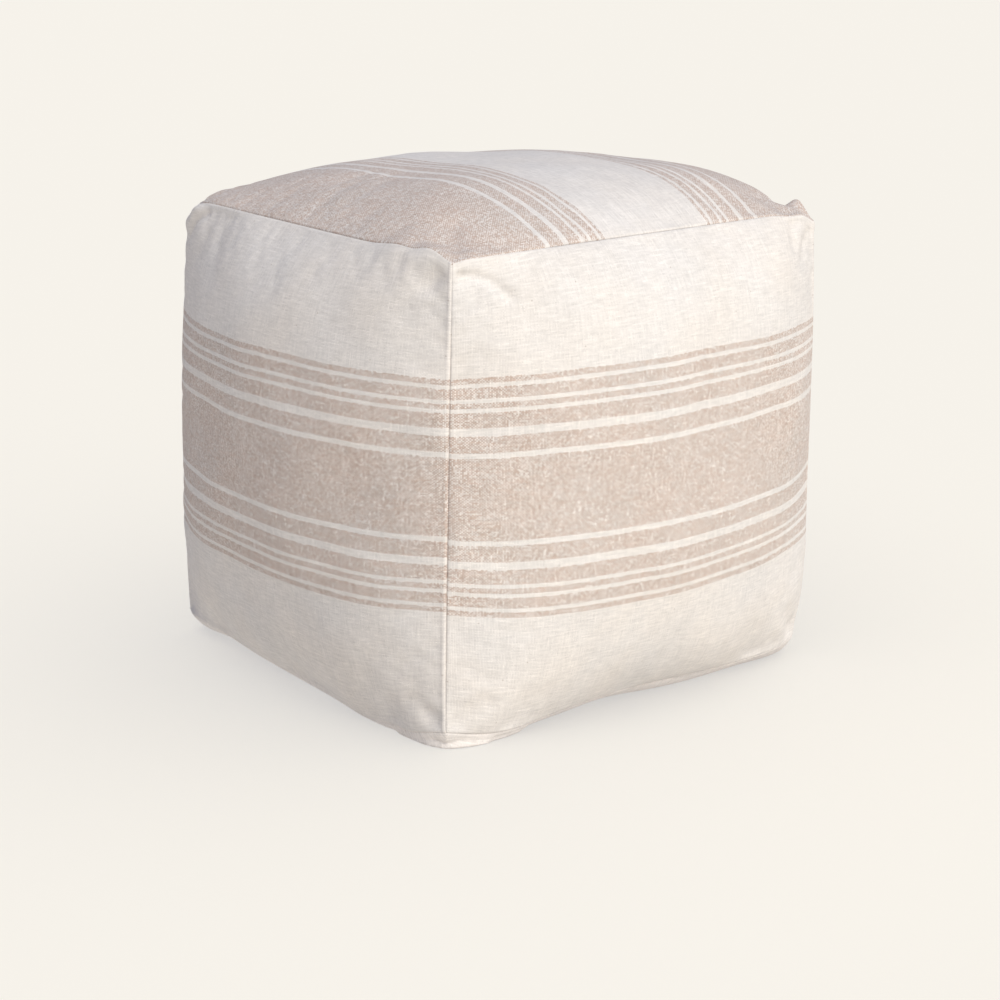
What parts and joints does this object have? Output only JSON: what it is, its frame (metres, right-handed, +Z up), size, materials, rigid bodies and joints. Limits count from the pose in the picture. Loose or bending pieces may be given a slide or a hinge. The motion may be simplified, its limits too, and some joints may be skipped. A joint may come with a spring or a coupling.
{
  "type": "cube pouf stool",
  "caption": "Stuffed cube pouf sewn from square cotton panels, with a soft crowned top, a striped band round its sides and a flat plain base to rest on.",
  "frame": {"origin": "middle of the underside, on the floor", "axes": "+Z up; the side panel called front faces -Y and the one called right faces +X; the top's stripes run along Y"},
  "size_m": [0.5285, 0.529, 0.4545],
  "materials": {
    "stuffed_form": "matte undyed cotton",
    "striped_top_cloth": "matte slub cotton, taupe and cream stripes",
    "banded_side_cloth": "matte slub cotton, cream with a band of taupe stripes",
    "plain_base_cloth": "matte plain white cotton"
  },
  "bodies": {
    "root": {"filled_form": "stuffed_form", "top_panel": "striped_top_cloth", "side_panel_front": "banded_side_cloth", "side_panel_right": "banded_side_cloth", "side_panel_back": "banded_side_cloth", "side_panel_left": "banded_side_cloth", "base_panel": "plain_base_cloth"}
  },
  "joints": []
}
